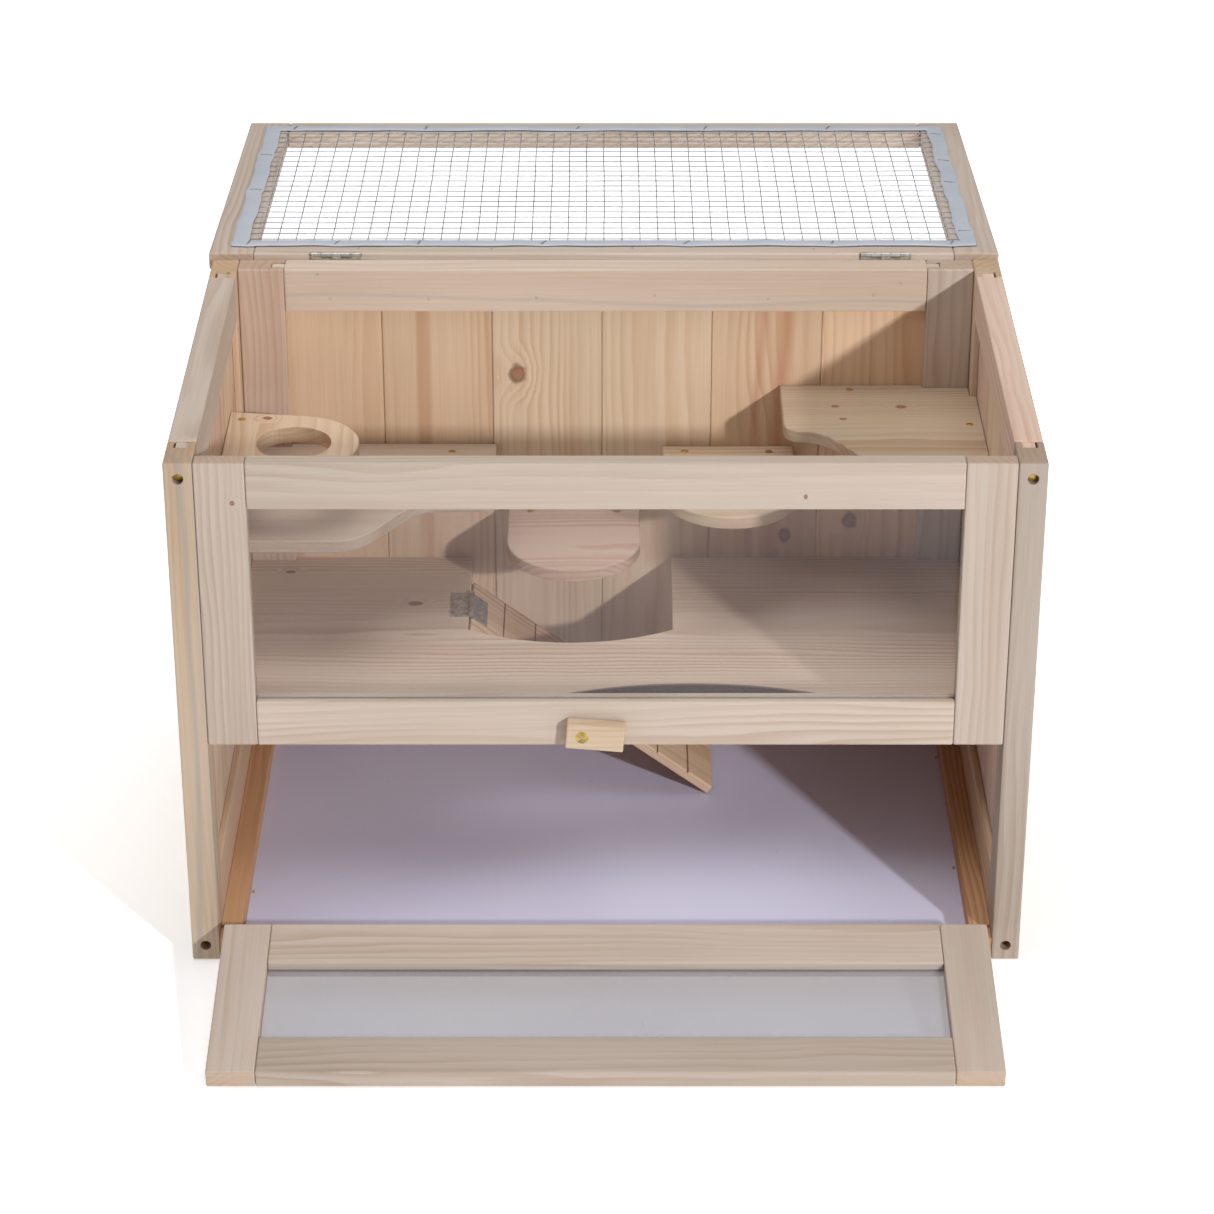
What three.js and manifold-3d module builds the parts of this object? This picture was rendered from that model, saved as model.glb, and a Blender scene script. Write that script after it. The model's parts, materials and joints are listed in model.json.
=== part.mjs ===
// A pine cage for small animals: a wire lid, a drop-down front door, a front window,
// and inside it a platform with a hinged ramp and five shelves.
import * as THREE from 'three';
import { mergeVertices } from 'three/addons/utils/BufferGeometryUtils.js';
import { RoundedBoxGeometry } from 'three/addons/geometries/RoundedBoxGeometry.js';
import Module from 'manifold-3d';

const wasm = await Module();
wasm.setup();

// Sizes are in millimetres. X is right, Y is back, Z is up, and the origin is
// on the ground under the centre of the box.
const cageWidth = 600;
const cageDepth = 362;
const cageHeight = 399;
const jointGap = 0.3;
const frameGap = 0.2;
const edgeRadius = 1.2;

// The left, right and back panels: grooved frames that hold tongued planks.
const panelThickness = 20;
const memberWidth = 35;
const lowRailBottom = 2;
const lowRailTop = 62;
const grooveDepth = 10;
const plankThickness = 10;
const plankPitch = 84.4;
const tongueLength = 4;
const screwHoleRadius = 4;

// The window and the door: thinner frames that hold an acrylic pane.
const frontThickness = 13.5;
const paneThickness = 2;
const paneInset = 5;
const paneGrip = 8;
const windowBottom = 179.5;
const doorWidth = 550;
const doorHeight = 157;
const doorMembers = { stile: 34, bottom: 43, top: 36 };

// The lid.
const lidWidth = 604;
const lidOffset = -1.5;
const lidThickness = 13;
const lidMember = 34;
const lidLift = 2.5;
const lidOpenAngle = 184.3;
const wireInset = 18;
const wireThickness = 0.2;
const wireGap = 0.3;
const tapeInset = 16;
const tapeWidth = 11;
const tapeThickness = 0.7;

// Butt hinges: five knuckles on a pin, with a plate on each side of it.
const knuckleRadius = 1.9;
const pinRadius = 0.8;
const boreRadius = 1.1;
const plateThickness = 0.8;
const plateOffset = 0.45;
const plateClearance = 0.2;
const pinToWood = plateOffset + plateThickness + plateClearance;
const hingeLength = 38;

const lidHinges = { left: -206, right: 214 };
const lidPinRise = 3.25;
const lidPlateWidth = 10.5;

const doorHinges = { left: -190, right: 190 };
const doorPinHeight = 19;
const doorPinForward = 2.2;
const doorPlateWidth = 14;

// The floor: a thin board under a frame of battens.
const floorTop = 5;
const floorThickness = 5;
const battenWidth = 15;
const battenTop = 20;

// The platform and its ramp.
const boardThickness = 10;
const platformTop = 152;
const platformFront = -76;
const cutOut = { left: -104.85, right: 51, corner: 44, sag: 21 };
const frontNotch = { centre: 64, deepest: -42, radius: 290 };
const ramp = { front: 45.5, width: 79, thickness: 7.5, length: 233, start: 1.75 };
const rampGroove = { first: 31.8, pitch: 29.8, count: 7, width: 1.5, depth: 1.6 };
const rampHinge = { x: -103.4, y: 83, plateWidth: 15.5 };

// The turn button on the window frame.
const latch = { x: -16.6, z: 192, left: 11.2, right: 29.8, height: 19.6, thickness: 11 };
const latchTilt = 5;

const halfWidth = cageWidth / 2;
const front = -cageDepth / 2;
const back = cageDepth / 2;
const innerX = halfWidth - panelThickness;
const innerBack = back - panelThickness;
const recess = (panelThickness - plankThickness) / 2;
const wallX = innerX + recess - jointGap;
const wallBack = innerBack + recess - jointGap;
const stileX = innerX - jointGap;
const stileBack = innerBack - jointGap;

const finishes = {
  pine: { color: 0xccb9a8, roughness: 0.75, metalness: 0 },
  acrylic: { color: 0xb9b4b8, roughness: 0.1, metalness: 0 },
  wire: { color: 0xa7a6a6, roughness: 0.4, metalness: 0.9 },
  tape: { color: 0xc9cdd8, roughness: 0.5, metalness: 0 },
  steel: { color: 0x9c978f, roughness: 0.35, metalness: 0.9 },
  whiteBoard: { color: 0xdcd6e0, roughness: 0.45, metalness: 0 },
};

const degrees = THREE.MathUtils.degToRad;

function addPiece(parent, name, finish, geometry, position = [0, 0, 0]) {
  geometry.computeVertexNormals();
  const mesh = new THREE.Mesh(geometry, new THREE.MeshStandardMaterial(finishes[finish]));
  mesh.name = name;
  mesh.position.set(...position);
  parent.add(mesh);
  return mesh;
}

function addGroup(parent, position, rotation = [0, 0, 0]) {
  const group = new THREE.Group();
  group.position.set(...position);
  group.rotation.set(...rotation);
  parent.add(group);
  return group;
}

function toSolid(geometry) {
  const bare = geometry.clone();
  bare.deleteAttribute('normal');
  bare.deleteAttribute('uv');
  const merged = mergeVertices(bare, 1e-4);
  const mesh = new wasm.Mesh({
    numProp: 3,
    vertProperties: merged.attributes.position.array,
    triVerts: new Uint32Array(merged.index.array),
  });
  return new wasm.Manifold(mesh);
}

function toGeometry(solid) {
  const mesh = solid.getMesh();
  const geometry = new THREE.BufferGeometry();
  geometry.setAttribute('position', new THREE.BufferAttribute(mesh.vertProperties, 3));
  geometry.setIndex(new THREE.BufferAttribute(mesh.triVerts, 1));
  return geometry;
}

function cut(geometry, tools) {
  return toGeometry(tools.reduce((solid, tool) => solid.subtract(toSolid(tool)), toSolid(geometry)));
}

function join(geometries) {
  return toGeometry(geometries.map(toSolid).reduce((solid, next) => solid.add(next)));
}

// A box between two corners.
function boxBetween(low, high) {
  const box = new THREE.BoxGeometry(high[0] - low[0], high[1] - low[1], high[2] - low[2]);
  return box.translate((low[0] + high[0]) / 2, (low[1] + high[1]) / 2, (low[2] + high[2]) / 2);
}

// A stick of wood between two corners, with its edges eased.
function stickBetween(low, high) {
  const size = high.map((value, axis) => value - low[axis]);
  const stick = new RoundedBoxGeometry(...size, 1, edgeRadius);
  return stick.translate(...low.map((value, axis) => value + size[axis] / 2));
}

// A cylinder along X from start to end.
function rodAlongX(radius, start, end, centreY = 0, centreZ = 0) {
  const rod = new THREE.CylinderGeometry(radius, radius, end - start, 16);
  return rod.rotateZ(Math.PI / 2).translate((start + end) / 2, centreY, centreZ);
}

// A flat board cut to an outline, lying on Z = 0, with its edges eased.
function boardFrom(shape, thickness) {
  const ease = 0.8;
  return new THREE.ExtrudeGeometry(shape, {
    depth: thickness - 2 * ease,
    bevelEnabled: true,
    bevelSize: ease,
    bevelThickness: ease,
    bevelOffset: -ease,
    bevelSegments: 1,
    curveSegments: 16,
  }).translate(0, 0, ease);
}

// The section of a plank or of joined planks: a groove at the left edge, a tongue
// at the right one, and shallow V lines where two planks meet.
function plankSection(left, right, { groove, tongue, vLines = [] }) {
  const half = plankThickness / 2;
  const ease = 0.8;
  const start = groove ? left + jointGap / 2 : left;
  const end = tongue ? right - jointGap / 2 : right;
  const shape = new THREE.Shape();
  shape.moveTo(start + ease, -half);
  for (const x of vLines) {
    shape.lineTo(x - ease, -half);
    shape.lineTo(x, -half + ease);
    shape.lineTo(x + ease, -half);
  }
  shape.lineTo(end - ease, -half);
  shape.lineTo(end, -half + ease);
  if (tongue) {
    shape.lineTo(end, -2);
    shape.lineTo(end + tongueLength, -2);
    shape.lineTo(end + tongueLength, 2);
    shape.lineTo(end, 2);
  }
  shape.lineTo(end, half - ease);
  shape.lineTo(end - ease, half);
  for (const x of [...vLines].reverse()) {
    shape.lineTo(x + ease, half);
    shape.lineTo(x, half - ease);
    shape.lineTo(x - ease, half);
  }
  shape.lineTo(start + ease, half);
  shape.lineTo(start, half - ease);
  if (groove) {
    shape.lineTo(start, 2 + jointGap);
    shape.lineTo(start + tongueLength + jointGap, 2 + jointGap);
    shape.lineTo(start + tongueLength + jointGap, -2 - jointGap);
    shape.lineTo(start, -2 - jointGap);
  }
  shape.lineTo(start, -half + ease);
  return shape;
}

// A stile of a panel, with a groove down its inner edge. The inner edge is on the
// side that `inward` names, -1 or 1 along X. A front stile has two screw holes.
function panelStile(inward, hasScrewHoles) {
  const half = memberWidth / 2;
  const stick = stickBetween([-half, -panelThickness / 2, 0], [half, panelThickness / 2, cageHeight]);
  const grooveHalf = plankThickness / 2 + jointGap;
  const grooveX = [inward * (half - grooveDepth), inward * (half + 1)].sort((a, b) => a - b);
  const tools = [boxBetween([grooveX[0], -grooveHalf, -1], [grooveX[1], grooveHalf, cageHeight + 1])];
  if (hasScrewHoles) {
    const holes = [{ z: 12, depth: 10 }, { z: cageHeight - 12, depth: 6 }];
    for (const hole of holes) {
      const ends = [-inward * (half - hole.depth), -inward * (half + 1)].sort((a, b) => a - b);
      tools.push(rodAlongX(screwHoleRadius, ends[0], ends[1], 0, hole.z));
    }
  }
  return cut(stick, tools);
}

// A rail of a panel between low and high, with a tongue at each end and a groove
// along the edge that faces the planks.
function panelRail(length, low, high, grooveUp) {
  const half = length / 2;
  const thick = panelThickness / 2;
  const tongueOut = plankThickness / 2 - 1.2;
  const tongueIn = plankThickness / 2;
  const reach = half + frameGap + grooveDepth - 2 * jointGap;
  const stick = stickBetween([-half, -thick, low], [half, thick, high]);
  const tongue = boxBetween([-reach, -tongueIn, low + edgeRadius], [reach, tongueOut, high - edgeRadius]);
  const groove = plankThickness / 2 + jointGap;
  const edge = grooveUp ? [high - grooveDepth, high + 1] : [low - 1, low + grooveDepth];
  return cut(join([stick, tongue]), [boxBetween([-reach - 1, -groove, edge[0]], [reach + 1, groove, edge[1]])]);
}

// A framed panel in its own frame: X along its width, Y outward, Z up.
// `ends` names its stiles at -X and +X, and `joints` gives the plank joints.
function buildPanel(parent, prefix, width, ends, joints, vLines, frontEnd) {
  const stileCentre = (width - memberWidth) / 2;
  const railLength = width - 2 * memberWidth - 2 * frameGap;
  addPiece(parent, `${prefix}_stile_${ends[0]}`, 'pine', panelStile(1, frontEnd === -1), [-stileCentre, 0, 0]);
  addPiece(parent, `${prefix}_stile_${ends[1]}`, 'pine', panelStile(-1, frontEnd === 1), [stileCentre, 0, 0]);
  addPiece(parent, `${prefix}_rail_top`, 'pine', panelRail(railLength, cageHeight - memberWidth, cageHeight, false));
  addPiece(parent, `${prefix}_rail_bottom`, 'pine', panelRail(railLength, lowRailBottom, lowRailTop, true));

  const plankBottom = lowRailTop - grooveDepth + jointGap;
  const plankTop = cageHeight - memberWidth + grooveDepth - jointGap;
  const reach = width / 2 - memberWidth + grooveDepth - jointGap;
  const edges = [-reach, ...joints, reach];
  for (let i = 0; i + 1 < edges.length; i += 1) {
    const section = plankSection(edges[i], edges[i + 1], {
      groove: i > 0,
      tongue: i + 2 < edges.length,
      vLines: vLines.filter((x) => x > edges[i] && x < edges[i + 1]),
    });
    const plank = new THREE.ExtrudeGeometry(section, { depth: plankTop - plankBottom, bevelEnabled: false });
    addPiece(parent, `${prefix}_plank_${i + 1}`, 'pine', plank, [0, 0, plankBottom]);
  }
}

function buildPanels(cage) {
  const sideJoints = [64, 64 - plankPitch];
  const sideLine = 64 - 2 * plankPitch;
  const panelX = halfWidth - panelThickness / 2;
  const quarter = Math.PI / 2;

  const left = addGroup(cage, [-panelX, 0, 0], [0, 0, quarter]);
  buildPanel(left, 'left', cageDepth, ['front', 'back'], [...sideJoints].reverse(), [sideLine], -1);

  const right = addGroup(cage, [panelX, 0, 0], [0, 0, -quarter]);
  buildPanel(right, 'right', cageDepth, ['back', 'front'], sideJoints.map((y) => -y), [-sideLine], 1);

  const backPanel = addGroup(cage, [0, back - panelThickness / 2, 0]);
  const backJoints = [-2, -1, 0, 1, 2].map((step) => step * plankPitch - 3);
  buildPanel(backPanel, 'back', 2 * stileX, ['left', 'right'], backJoints, [], 0);
}

// A flat frame in its own frame: X along its width, Z up from its bottom edge, and
// Y from its outer face inwards. A pane, if it has one, sits in grooves.
function buildFrame(parent, prefix, width, height, thickness, members, names, paneName) {
  const outer = width / 2;
  const inner = outer - members.stile;
  const top = height - members.top;
  const railEnd = inner - frameGap;
  const sticks = {
    [names.left]: stickBetween([-outer, 0, 0], [-inner, thickness, height]),
    [names.right]: stickBetween([inner, 0, 0], [outer, thickness, height]),
    [names.bottom]: stickBetween([-railEnd, 0, 0], [railEnd, thickness, members.bottom]),
    [names.top]: stickBetween([-railEnd, 0, top], [railEnd, thickness, height]),
  };
  const tools = [];
  if (paneName) {
    const low = [-inner - paneGrip, paneInset, members.bottom - paneGrip];
    const high = [inner + paneGrip, paneInset + paneThickness, top + paneGrip];
    addPiece(parent, paneName, 'acrylic', boxBetween(low, high));
    tools.push(boxBetween(low.map((value) => value - jointGap), high.map((value) => value + jointGap)));
  }
  for (const [name, stick] of Object.entries(sticks)) {
    addPiece(parent, `${prefix}_${name}`, 'pine', tools.length ? cut(stick, tools) : stick);
  }
}

const uprightNames = { left: 'stile_left', right: 'stile_right', bottom: 'rail_bottom', top: 'rail_top' };

function buildWindow(cage) {
  const members = { stile: memberWidth, bottom: memberWidth, top: memberWidth };
  const group = addGroup(cage, [0, front, windowBottom]);
  const height = cageHeight - windowBottom;
  buildFrame(group, 'window', 2 * stileX, height, frontThickness, members, uprightNames, 'window_pane');
}

// One leaf of a hinge. Its pin is the X axis, and its plate stands up from the pin
// on the -Y side, against the wood. The leaf with the odd knuckles carries the pin.
function hingeLeaf(length, plateWidth, carriesPin) {
  const step = length / 5;
  const half = length / 2;
  const plateY = [-plateOffset - plateThickness, -plateOffset];
  const knuckleClear = knuckleRadius + 0.4;
  const parts = [boxBetween([-half, plateY[0], knuckleClear], [half, plateY[1], plateWidth])];
  for (let i = carriesPin ? 0 : 1; i < 5; i += 2) {
    const start = -half + i * step + jointGap / 2;
    const end = start + step - jointGap;
    parts.push(rodAlongX(knuckleRadius, start, end));
    parts.push(boxBetween([start, plateY[0], 0], [end, plateY[1], knuckleClear + 0.2]));
  }
  if (carriesPin) {
    parts.push(rodAlongX(pinRadius, -half + 1, half - 1));
    return join(parts);
  }
  return cut(join(parts), [rodAlongX(boreRadius, -half, half)]);
}

// Places a leaf with its pin at `position`. `tilt` turns it about its pin, `flip`
// turns its plate to the other side, and `turn` swings the pin from X to Y.
function addLeaf(parent, name, leaf, position, { tilt = 0, flip = false, turn = 0 }) {
  const mesh = addPiece(parent, name, 'steel', hingeLeaf(hingeLength, leaf.width, leaf.carriesPin), position);
  mesh.rotation.set(tilt, flip ? Math.PI : 0, turn, 'ZXY');
}

function buildDoor(cage) {
  const pinY = front - doorPinForward;
  const reach = pinToWood + doorHeight;
  const groundClearance = 0.2;
  const span = Math.hypot(doorPinForward, reach);
  const droop = Math.atan2(doorPinForward, reach) + Math.asin((doorPinHeight - groundClearance) / span);
  const door = addGroup(cage, [0, pinY, doorPinHeight], [Math.PI / 2 + droop, 0, 0]);
  const frame = addGroup(door, [0, doorPinForward, pinToWood]);
  buildFrame(frame, 'door', doorWidth, doorHeight, frontThickness, doorMembers, uprightNames, 'door_pane');

  for (const [side, x] of Object.entries(doorHinges)) {
    const moving = { width: doorPlateWidth, carriesPin: false };
    const fixed = { width: doorPlateWidth, carriesPin: true };
    addLeaf(door, `door_hinge_${side}_leaf`, moving, [x, 0, 0], { tilt: -Math.PI / 2 });
    addLeaf(cage, `door_hinge_${side}_base`, fixed, [x, pinY, doorPinHeight], { tilt: Math.PI / 2, flip: true });
  }
}

// A rectangular ring of flat tape over the edge of the wire.
function tapeRing(halfX, near, far) {
  const ring = boxBetween([-halfX, 0, near], [halfX, tapeThickness, far]);
  const hole = boxBetween(
    [-halfX + tapeWidth, -1, near + tapeWidth],
    [halfX - tapeWidth, tapeThickness + 1, far - tapeWidth],
  );
  return cut(ring, [hole]);
}

function buildLid(cage) {
  const pin = [0, back + pinToWood, cageHeight + lidPinRise];
  const lid = addGroup(cage, pin, [-degrees(lidOpenAngle), 0, 0]);

  // The lid lies flat when shut, so its frame is turned: Z runs back, Y runs down.
  const shutTop = lidLift + lidThickness - lidPinRise;
  const frame = addGroup(lid, [lidOffset, -pinToWood - cageDepth, shutTop], [-Math.PI / 2, 0, 0]);
  const members = { stile: lidMember, bottom: lidMember, top: lidMember };
  const names = { left: 'stile_left', right: 'stile_right', bottom: 'rail_front', top: 'rail_back' };
  buildFrame(frame, 'lid', lidWidth, cageDepth, lidThickness, members, names);

  // Shallow notches in the back rail make room for the knuckles.
  const notches = Object.values(lidHinges).map((x) => {
    const halfNotch = hingeLength / 2 + 0.5;
    const clear = knuckleRadius + 0.4;
    const low = [x - lidOffset - halfNotch, shutTop - clear, cageDepth + pinToWood - clear];
    const high = [x - lidOffset + halfNotch, lidThickness + 1, cageDepth + 1];
    return boxBetween(low, high);
  });
  const backRail = frame.children.find((mesh) => mesh.name === 'lid_rail_back');
  backRail.geometry = cut(backRail.geometry, notches);

  const wireX = lidWidth / 2 - wireInset;
  const wireY = lidThickness + wireGap;
  const wire = boxBetween([-wireX, 0, wireInset], [wireX, wireThickness, cageDepth - wireInset]);
  addPiece(frame, 'lid_wire_mesh', 'wire', wire, [0, wireY, 0]);
  const tapeY = wireY + wireThickness + wireGap;
  const tape = tapeRing(lidWidth / 2 - tapeInset, tapeInset, cageDepth - tapeInset);
  addPiece(frame, 'lid_edging', 'tape', tape, [0, tapeY, 0]);

  for (const [side, x] of Object.entries(lidHinges)) {
    const moving = { width: lidPlateWidth, carriesPin: false };
    const fixed = { width: lidPlateWidth, carriesPin: true };
    addLeaf(lid, `lid_hinge_${side}_leaf`, moving, [x, 0, 0], {});
    addLeaf(cage, `lid_hinge_${side}_base`, fixed, [x, pin[1], pin[2]], { flip: true });
  }
}

function buildFloor(cage) {
  const board = boxBetween([-stileX, front + jointGap, 0], [stileX, stileBack, floorThickness]);
  addPiece(cage, 'floor_board', 'whiteBoard', board, [0, 0, floorTop - floorThickness]);

  const low = floorTop + jointGap;
  const frame = boxBetween([-stileX, front + jointGap, low], [stileX, stileBack, battenTop]);
  const hole = boxBetween(
    [-stileX + battenWidth, front + jointGap + battenWidth, low - 1],
    [stileX - battenWidth, stileBack - battenWidth, battenTop + 1],
  );
  // The front batten is lower, so that the door hinges fit on top of it.
  const hingeSeat = boxBetween(
    [-stileX - 1, front - 1, doorPinHeight - pinToWood],
    [stileX + 1, front + jointGap + battenWidth, battenTop + 1],
  );
  addPiece(cage, 'floor_frame', 'pine', cut(frame, [hole, hingeSeat]));
}

// Continues an outline up the right wall, round the corner posts and along the
// back wall to the point (x, wallBack).
function followRightCorner(shape, x) {
  shape.lineTo(wallX, back - memberWidth - jointGap);
  shape.lineTo(stileX, back - memberWidth - jointGap);
  shape.lineTo(stileX, stileBack);
  shape.lineTo(innerX - memberWidth - jointGap, stileBack);
  shape.lineTo(innerX - memberWidth - jointGap, wallBack);
  shape.lineTo(x, wallBack);
}

// The same at the left, from the back wall round to the left wall.
function followLeftCorner(shape) {
  shape.lineTo(-innerX + memberWidth + jointGap, wallBack);
  shape.lineTo(-innerX + memberWidth + jointGap, stileBack);
  shape.lineTo(-stileX, stileBack);
  shape.lineTo(-stileX, back - memberWidth - jointGap);
  shape.lineTo(-wallX, back - memberWidth - jointGap);
}

function buildPlatform(cage) {
  const shape = new THREE.Shape();
  const notchY = frontNotch.deepest - frontNotch.radius;
  const notchAngle = Math.asin((platformFront - notchY) / frontNotch.radius);
  shape.moveTo(-wallX, platformFront);
  shape.lineTo(frontNotch.centre - frontNotch.radius * Math.cos(notchAngle), platformFront);
  shape.absarc(frontNotch.centre, notchY, frontNotch.radius, Math.PI - notchAngle, notchAngle, true);
  shape.lineTo(wallX, platformFront);
  followRightCorner(shape, cutOut.right);

  // The cut-out behind the ramp ends in a shallow arc.
  const halfChord = (cutOut.right - cutOut.left) / 2;
  const radius = (halfChord ** 2 + cutOut.sag ** 2) / (2 * cutOut.sag);
  const arcY = cutOut.corner - cutOut.sag + radius;
  const arcAngle = Math.asin(halfChord / radius);
  const down = -Math.PI / 2;
  shape.absarc(cutOut.left + halfChord, arcY, radius, down + arcAngle, down - arcAngle, true);
  shape.lineTo(cutOut.left, wallBack);
  followLeftCorner(shape);
  shape.closePath();
  addPiece(cage, 'platform', 'pine', boardFrom(shape, boardThickness), [0, 0, platformTop - boardThickness]);
}

// A shelf on the back wall with a half-round front.
function buildHalfRoundShelf(cage, name, centreX, halfShelf, depth, top) {
  const shape = new THREE.Shape();
  shape.moveTo(halfShelf, 0);
  shape.lineTo(-halfShelf, 0);
  shape.absarc(0, halfShelf - depth, halfShelf, Math.PI, 2 * Math.PI, false);
  shape.closePath();
  addPiece(cage, name, 'pine', boardFrom(shape, boardThickness), [centreX, wallBack, top - boardThickness]);
}

// A shelf on the left wall that carries a round hole.
function buildRingShelf(cage) {
  const ring = { centreY: 56, reach: 52.2, radius: 48.5, hole: 28, halfWall: 56, top: 303, thickness: 12 };
  const toCorner = Math.hypot(ring.reach, ring.halfWall);
  const tangent = Math.atan2(ring.halfWall, -ring.reach) - Math.acos(ring.radius / toCorner);
  const shape = new THREE.Shape();
  shape.moveTo(-ring.reach, ring.halfWall);
  shape.lineTo(-ring.reach, -ring.halfWall);
  shape.absarc(0, 0, ring.radius, -tangent, tangent, false);
  shape.closePath();
  const hole = new THREE.CylinderGeometry(ring.hole, ring.hole, 3 * ring.thickness, 48);
  const board = cut(boardFrom(shape, ring.thickness), [hole.rotateX(Math.PI / 2)]);
  addPiece(cage, 'shelf_ring', 'pine', board, [ring.reach - wallX, ring.centreY, ring.top - ring.thickness]);
}

// The lower left shelf, with an S-curved front edge.
function buildLowerLeftShelf(cage) {
  const edge = { right: -84.5, shallow: 64.5, deep: -3.5, curveStart: -200, curveEnd: -123, corner: 11 };
  const shape = new THREE.Shape();
  shape.moveTo(-wallX, edge.deep);
  shape.lineTo(edge.curveStart, edge.deep);
  shape.bezierCurveTo(-165, edge.deep, -160, edge.shallow, edge.curveEnd, edge.shallow);
  shape.absarc(edge.right - edge.corner, edge.shallow + edge.corner, edge.corner, -Math.PI / 2, 0, false);
  shape.lineTo(edge.right, wallBack);
  followLeftCorner(shape);
  shape.closePath();
  const top = 251;
  addPiece(cage, 'shelf_lower_left', 'pine', boardFrom(shape, boardThickness), [0, 0, top - boardThickness]);
}

// The upper right shelf, with an S-curved front edge that falls the other way.
function buildUpperRightShelf(cage) {
  const edge = { left: 134.5, shallow: 81, deep: 13, curveEnd: 225, corner: 14 };
  const shape = new THREE.Shape();
  shape.absarc(edge.left + edge.corner, edge.shallow + edge.corner, edge.corner, Math.PI, 1.5 * Math.PI, false);
  shape.bezierCurveTo(180, edge.shallow, 185, edge.deep, edge.curveEnd, edge.deep);
  shape.lineTo(wallX, edge.deep);
  followRightCorner(shape, edge.left);
  shape.closePath();
  const top = 301;
  addPiece(cage, 'shelf_upper_right', 'pine', boardFrom(shape, boardThickness), [0, 0, top - boardThickness]);
}

function buildRamp(cage) {
  const pin = [rampHinge.x, rampHinge.y, platformTop + pinToWood];
  const tip = { along: ramp.start + ramp.length, below: pinToWood + ramp.thickness };
  const span = Math.hypot(tip.along, tip.below);
  const drop = pin[2] - floorTop - jointGap;
  const slope = Math.asin(drop / span) - Math.atan2(tip.below, tip.along);
  const group = addGroup(cage, pin, [0, slope, 0]);

  const low = [ramp.start, ramp.front - rampHinge.y, -tip.below];
  const high = [tip.along, ramp.front + ramp.width - rampHinge.y, -pinToWood];
  const grooves = [];
  for (let i = 0; i < rampGroove.count; i += 1) {
    const x = rampGroove.first + i * rampGroove.pitch;
    const floor = high[2] - rampGroove.depth;
    grooves.push(boxBetween([x - rampGroove.width / 2, low[1] - 1, floor], [x + rampGroove.width / 2, high[1] + 1, 1]));
  }
  // Its upper end is cut back underneath, so that it clears the platform when down.
  const clearX = cutOut.left + jointGap - rampHinge.x;
  const relief = boxBetween([-ramp.length, low[1] - 1, -ramp.length], [clearX, high[1] + 1, ramp.length]);
  addPiece(group, 'ramp_board', 'pine', cut(stickBetween(low, high), [...grooves, relief.rotateY(-slope)]));

  const moving = { width: rampHinge.plateWidth, carriesPin: false };
  const fixed = { width: rampHinge.plateWidth, carriesPin: true };
  const quarter = Math.PI / 2;
  addLeaf(group, 'ramp_hinge_leaf', moving, [0, 0, 0], { tilt: quarter, turn: quarter });
  addLeaf(cage, 'ramp_hinge_base', fixed, pin, { tilt: quarter, flip: true, turn: quarter });
}

function buildLatch(cage) {
  const group = addGroup(cage, [latch.x, front, latch.z], [0, degrees(latchTilt), 0]);
  const low = [-latch.left, -latch.thickness - jointGap, -latch.height / 2];
  const high = [latch.right, -jointGap, latch.height / 2];
  addPiece(group, 'latch', 'pine', stickBetween(low, high));
}

const cage = new THREE.Group();
buildPanels(cage);
buildWindow(cage);
buildFloor(cage);
buildPlatform(cage);
buildLowerLeftShelf(cage);
buildUpperRightShelf(cage);
buildRingShelf(cage);
buildHalfRoundShelf(cage, 'shelf_half_round_low', -24.7, 51.3, 117, 200);
buildHalfRoundShelf(cage, 'shelf_half_round_high', 95.2, 51, 126, 249);
buildRamp(cage);
buildDoor(cage);
buildLatch(cage);
buildLid(cage);

export default cage;
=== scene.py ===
import bpy
import json
import math
import random
from mathutils import Matrix, Vector


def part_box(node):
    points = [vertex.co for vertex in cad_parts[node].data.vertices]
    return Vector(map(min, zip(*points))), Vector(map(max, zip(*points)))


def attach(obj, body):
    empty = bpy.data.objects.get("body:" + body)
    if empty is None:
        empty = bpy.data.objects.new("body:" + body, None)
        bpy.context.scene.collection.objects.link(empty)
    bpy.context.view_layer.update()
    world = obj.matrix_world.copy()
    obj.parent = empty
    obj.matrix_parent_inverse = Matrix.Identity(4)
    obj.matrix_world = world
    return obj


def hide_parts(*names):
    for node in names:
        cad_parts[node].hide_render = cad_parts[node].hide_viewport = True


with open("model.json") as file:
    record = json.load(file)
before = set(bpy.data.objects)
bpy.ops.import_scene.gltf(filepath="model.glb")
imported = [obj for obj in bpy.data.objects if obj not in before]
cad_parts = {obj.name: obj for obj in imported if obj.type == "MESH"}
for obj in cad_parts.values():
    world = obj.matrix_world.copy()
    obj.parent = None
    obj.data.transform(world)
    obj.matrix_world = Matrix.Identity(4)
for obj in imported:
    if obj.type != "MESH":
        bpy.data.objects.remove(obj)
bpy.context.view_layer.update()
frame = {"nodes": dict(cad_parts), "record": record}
nodes = frame["nodes"]
joints = {joint["name"]: joint for joint in frame["record"]["behaviour"]["joints"]}
mm = 0.001
draw = random.Random(23)
print("frame loaded:", len(nodes), "nodes")

# how far the open lid and the open door lean, and how steep the ramp is
openAngle = {name: math.radians(joints[name]["range_deg"][1]) for name in ("lid_hinge", "door_hinge")}
lidTilt = openAngle["lid_hinge"] - math.pi
doorTilt = openAngle["door_hinge"] - math.pi / 2
rampSlope = math.radians(36.9)


def boxSides(name):
    low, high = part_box(name)
    return Vector(low), Vector(high)


def boxCentre(name):
    low, high = boxSides(name)
    return (low + high) / 2


def linear(hexColour, light=1.0):
    parts = [int(hexColour[i:i + 2], 16) / 255 for i in (1, 3, 5)]
    linearParts = [p / 12.92 if p <= 0.04045 else ((p + 0.055) / 1.055) ** 2.4 for p in parts]
    return tuple(min(1.0, p * light) for p in linearParts) + (1.0,)


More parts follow.
